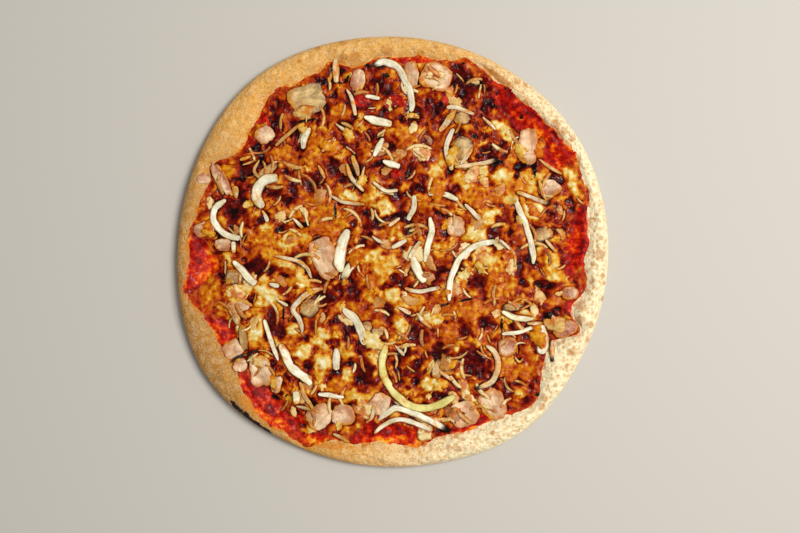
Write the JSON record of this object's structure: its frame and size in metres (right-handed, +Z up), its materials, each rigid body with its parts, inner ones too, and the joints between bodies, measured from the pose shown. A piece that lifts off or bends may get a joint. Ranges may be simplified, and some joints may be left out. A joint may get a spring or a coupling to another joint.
{
  "type": "pizza with onion, sliced ham and mushroom",
  "caption": "Round thin pizza with a raised browned rim, tomato sauce, melted cheese, onion strips, sliced ham and mushroom.",
  "frame": {"origin": "centre of the pizza's outline, on the flat underside", "axes": "+Z up through the toppings, +X to the right and +Y to the top of the picture"},
  "size_m": [0.317, 0.3162, 0.0169],
  "materials": {
    "crust": "baked dough, pale gold with brown blister spots and flour bloom, matt",
    "sauce": "cooked tomato sauce, deep red, moist",
    "cheese": "melted cheese, cream to orange brown, oily gloss",
    "onion": "roasted onion, white to cream, slightly moist",
    "ham": "sliced cooked ham and chicken, pink beige with browned edges",
    "mushroom": "sliced cooked mushroom, tan with a darker edge"
  },
  "bodies": {
    "root": {"crust": "crust", "tomato_sauce": "sauce", "melted_cheese": "cheese", "mushroom_north_west": "mushroom", "mushroom_east": "mushroom", "mushroom_golden": "mushroom", "mushroom_west": "mushroom", "mushroom_low_east": "mushroom", "ham_west_long": "ham", "ham_west": "ham", "ham_north_west": "ham", "ham_north_mauve": "ham", "ham_north_beige": "ham", "ham_north_shreds": "ham", "ham_north_east": "ham", "ham_folded": "ham", "ham_low_west": "ham", "ham_low_west_roll": "ham", "ham_south_west": "ham", "ham_south_round": "ham", "ham_south_east": "ham", "ham_low_east": "ham", "onion_hook": "onion", "onion_crescent": "onion", "onion_curl": "onion", "onion_west_taper": "onion", "onion_centre_wedge": "onion", "onion_pale_tail": "onion", "onion_bend": "onion", "onion_west_arc": "onion", "onion_low_west_thin": "onion", "onion_low_west_thick": "onion", "onion_broad": "onion", "onion_stub": "onion", "onion_lime_arc": "onion", "onion_south_upper": "onion", "onion_south_lower": "onion", "onion_north_bow": "onion", "onion_north_cream": "onion", "onion_north_bar": "onion", "onion_burnt_tip": "onion", "onion_middle_bar": "onion", "onion_middle_stroke": "onion", "onion_middle_long": "onion", "onion_thick_white": "onion", "onion_level_bar": "onion", "onion_long_arc": "onion", "onion_east_ring": "onion", "onion_east_bar": "onion", "onion_east_lower": "onion", "onion_fang": "onion", "onion_east_long": "onion", "onion_east_thin": "onion", "onion_north_chunk": "onion", "onion_north_slip": "onion", "onion_north_stub": "onion", "onion_spindle": "onion", "onion_south_bar": "onion", "onion_inner_petal": "onion"}
  },
  "joints": []
}
